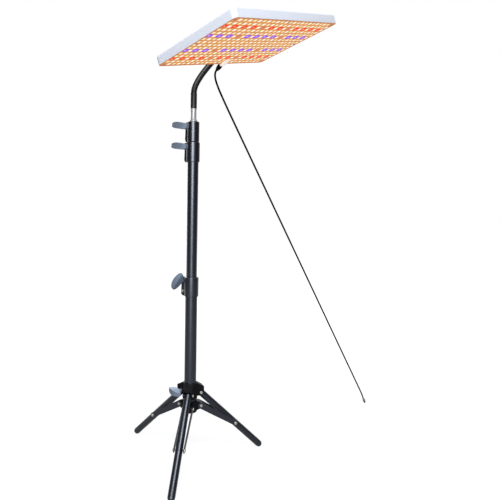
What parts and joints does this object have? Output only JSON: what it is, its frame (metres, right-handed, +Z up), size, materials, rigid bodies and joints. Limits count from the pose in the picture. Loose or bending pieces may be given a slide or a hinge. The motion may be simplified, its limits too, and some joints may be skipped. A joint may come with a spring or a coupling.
{
  "type": "plant grow light",
  "caption": "Flat LED grow-light panel on a bendable gooseneck, carried by a telescopic black light stand with folding tripod legs, wing-knob clamps and a power cord.",
  "frame": {"origin": "middle of the lamp's footprint without the cord (bounding box of the stand, neck and panel), on the floor plane that the feet rest on", "axes": "+Z up along the column; +X to the right and +Y away from a viewer who stands in front, where the panel's lit face and one leg point towards the viewer (-Y)"},
  "size_m": [0.5875, 0.5538, 0.8036],
  "materials": {
    "black_paint": "black powder coat, satin, faintly blue, on thin-walled steel",
    "black_plastic": "black moulded nylon, satin",
    "neck_black": "black coated gooseneck, semi-gloss",
    "cast_metal": "die-cast metal, blue-grey, semi-gloss with soft edges",
    "bright_steel": "bright zinc-plated steel",
    "spun_aluminium": "turned aluminium, bright",
    "panel_white": "white, smooth, slightly cool",
    "led_board": "lit board of small LEDs, warm orange glow with red and violet rows",
    "black_rubber": "black rubber, matt"
  },
  "bodies": {
    "base": {"lower_tube": "black_paint", "column_end_plug": "black_plastic", "brace_hub": "black_plastic", "brace_pin_front": "bright_steel", "brace_pin_right": "bright_steel", "brace_pin_left": "bright_steel", "lower_clamp_collar": "black_plastic", "lower_clamp_nut": "bright_steel", "lower_clamp_rivet": "bright_steel"},
    "leg_slider": {"leg_hub": "black_plastic", "leg_pin_front": "bright_steel", "leg_pin_right": "bright_steel", "leg_pin_left": "bright_steel"},
    "leg_lock": {"leg_lock_knob": "cast_metal"},
    "leg_front_body": {"leg_front": "black_paint", "foot_cap_front": "black_rubber"},
    "brace_front_body": {"brace_front_strip_a": "black_paint", "brace_front_strip_b": "black_paint"},
    "leg_right_body": {"leg_right": "black_paint", "foot_cap_right": "black_rubber"},
    "brace_right_body": {"brace_right_strip_a": "black_paint", "brace_right_strip_b": "black_paint"},
    "leg_left_body": {"leg_left": "black_paint", "foot_cap_left": "black_rubber"},
    "brace_left_body": {"brace_left_strip_a": "black_paint", "brace_left_strip_b": "black_paint"},
    "lower_knob": {"lower_clamp_knob": "cast_metal"},
    "second_stage": {"second_tube": "black_paint", "second_tube_guide": "black_plastic", "middle_clamp_collar": "black_plastic", "middle_clamp_nut": "bright_steel"},
    "middle_knob": {"middle_clamp_knob": "cast_metal"},
    "third_stage": {"third_tube": "black_paint", "third_tube_guide": "black_plastic", "upper_clamp_collar": "black_plastic", "upper_clamp_nut": "bright_steel"},
    "upper_knob": {"upper_clamp_knob": "cast_metal"},
    "top_stage": {"top_tube": "black_paint", "top_tube_guide": "black_plastic", "spigot": "spun_aluminium"},
    "neck_base": {"neck_ferrule": "neck_black", "neck_root": "neck_black"},
    "neck_1": {"neck_link_1": "neck_black"},
    "neck_2": {"neck_link_2": "neck_black"},
    "neck_3": {"neck_link_3": "neck_black"},
    "neck_4": {"neck_link_4": "neck_black"},
    "neck_5": {"neck_link_5": "neck_black"},
    "neck_end": {"neck_tip": "neck_black"},
    "bracket": {"panel_bracket": "black_plastic", "tilt_pin": "bright_steel"},
    "panel": {"panel_housing": "panel_white", "led_board": "led_board", "inlet_socket": "panel_white", "cord_connector": "black_rubber", "cord_lead": "black_rubber", "cord_plug": "black_rubber"}
  },
  "joints": [
    {"name": "leg_fold", "type": "slide", "parent": "base", "child": "leg_slider", "axis": [0, 0, 1], "range_m": [0, 0.166]},
    {"name": "leg_front_hinge", "type": "hinge", "parent": "leg_slider", "child": "leg_front_body", "pos_m": [-0.05619, 0.03775, 0.14], "axis": [0.981, -0.1942, 0], "range_deg": [-0.5, 35]},
    {"name": "brace_front_hinge", "type": "hinge", "parent": "base", "child": "brace_front_body", "pos_m": [-0.05619, 0.03775, 0.113], "axis": [-0.981, 0.1942, 0], "range_deg": [-0.5, 110.5]},
    {"name": "leg_right_hinge", "type": "hinge", "parent": "leg_slider", "child": "leg_right_body", "pos_m": [-0.03337, 0.06381, 0.14], "axis": [-0.3223, 0.9466, 0], "range_deg": [-0.5, 35]},
    {"name": "brace_right_hinge", "type": "hinge", "parent": "base", "child": "brace_right_body", "pos_m": [-0.03337, 0.06381, 0.113], "axis": [0.3223, -0.9466, 0], "range_deg": [-0.5, 110.5]},
    {"name": "leg_left_hinge", "type": "hinge", "parent": "leg_slider", "child": "leg_left_body", "pos_m": [-0.06735, 0.07054, 0.14], "axis": [-0.6587, -0.7524, 0], "range_deg": [-0.5, 35]},
    {"name": "brace_left_hinge", "type": "hinge", "parent": "base", "child": "brace_left_body", "pos_m": [-0.06735, 0.07054, 0.113], "axis": [0.6587, 0.7524, 0], "range_deg": [-0.5, 110.5]},
    {"name": "leg_lock_turn", "type": "hinge", "parent": "leg_slider", "child": "leg_lock", "pos_m": [-0.0523, 0.05737, 0.147], "axis": [-0.866, -0.5, 0], "range_deg": [0, 180]},
    {"name": "lower_knob_turn", "type": "hinge", "parent": "base", "child": "lower_knob", "pos_m": [-0.06461, 0.06967, 0.3605], "axis": [-0.7071, -0.7071, 0], "range_deg": [0, 180]},
    {"name": "second_slide", "type": "slide", "parent": "base", "child": "second_stage", "axis": [0, 0, 1], "range_m": [-0.2, 0.012]},
    {"name": "middle_knob_turn", "type": "hinge", "parent": "second_stage", "child": "middle_knob", "pos_m": [-0.06227, 0.06734, 0.603], "axis": [-0.7071, -0.7071, 0], "range_deg": [0, 180]},
    {"name": "third_slide", "type": "slide", "parent": "second_stage", "child": "third_stage", "axis": [0, 0, 1], "range_m": [0, 0.18]},
    {"name": "upper_knob_turn", "type": "hinge", "parent": "third_stage", "child": "upper_knob", "pos_m": [-0.06135, 0.06642, 0.6373], "axis": [-0.7071, -0.7071, 0], "range_deg": [0, 180]},
    {"name": "top_slide", "type": "slide", "parent": "third_stage", "child": "top_stage", "axis": [0, 0, 1], "range_m": [0, 0.18]},
    {"name": "neck_swivel", "type": "hinge", "parent": "top_stage", "child": "neck_base", "pos_m": [-0.0523, 0.05737, 0.6666], "axis": [0, 0, 1], "range_deg": [-180, 180]},
    {"name": "neck_bend_1", "type": "hinge", "parent": "neck_base", "child": "neck_1", "pos_m": [-0.04365, 0.06148, 0.71588], "axis": [-0.087, 0.9771, -0.194], "range_deg": [-12, 0]},
    {"name": "neck_bend_2", "type": "hinge", "parent": "neck_1", "child": "neck_2", "pos_m": [-0.02914, 0.06625, 0.73591], "axis": [0.5037, 0.669, -0.5466], "range_deg": [-12.5, 0.5]},
    {"name": "neck_bend_3", "type": "hinge", "parent": "neck_2", "child": "neck_3", "pos_m": [-0.01232, 0.06823, 0.75452], "axis": [0.6774, 0.3262, -0.6593], "range_deg": [-12.5, 0.5]},
    {"name": "neck_bend_4", "type": "hinge", "parent": "neck_3", "child": "neck_4", "pos_m": [0.00574, 0.06373, 0.77129], "axis": [0.6879, 0.1843, -0.7021], "range_deg": [-12.5, 0.5]},
    {"name": "neck_bend_5", "type": "hinge", "parent": "neck_4", "child": "neck_5", "pos_m": [0.02089, 0.04751, 0.78216], "axis": [0.6655, 0.1383, -0.7335], "range_deg": [-12.5, 0.5]},
    {"name": "neck_bend_6", "type": "hinge", "parent": "neck_5", "child": "neck_end", "pos_m": [0.02768, 0.02352, 0.78389], "axis": [0.6437, 0.1301, -0.7541], "range_deg": [-12.5, 0.5]},
    {"name": "panel_tilt", "type": "hinge", "parent": "neck_end", "child": "bracket", "pos_m": [0.02717, -0.01983, 0.77609], "axis": [0.9426, -0.1795, 0.2815], "range_deg": [-80, 0]},
    {"name": "panel_turn", "type": "hinge", "parent": "bracket", "child": "panel", "pos_m": [0.02717, -0.01983, 0.77609], "axis": [-0.2886, -0.014, 0.9574], "range_deg": [-20, 8]}
  ],
  "couplings": [
    {"joint": "leg_front_hinge", "follows": "leg_fold", "rad_per_m": 3.638},
    {"joint": "brace_front_hinge", "follows": "leg_fold", "rad_per_m": 11.52},
    {"joint": "leg_right_hinge", "follows": "leg_fold", "rad_per_m": 3.638},
    {"joint": "brace_right_hinge", "follows": "leg_fold", "rad_per_m": 11.52},
    {"joint": "leg_left_hinge", "follows": "leg_fold", "rad_per_m": 3.638},
    {"joint": "brace_left_hinge", "follows": "leg_fold", "rad_per_m": 11.52},
    {"joint": "neck_bend_2", "follows": "neck_bend_1", "ratio": 1},
    {"joint": "neck_bend_3", "follows": "neck_bend_1", "ratio": 1},
    {"joint": "neck_bend_4", "follows": "neck_bend_1", "ratio": 1},
    {"joint": "neck_bend_5", "follows": "neck_bend_1", "ratio": 1},
    {"joint": "neck_bend_6", "follows": "neck_bend_1", "ratio": 1}
  ]
}
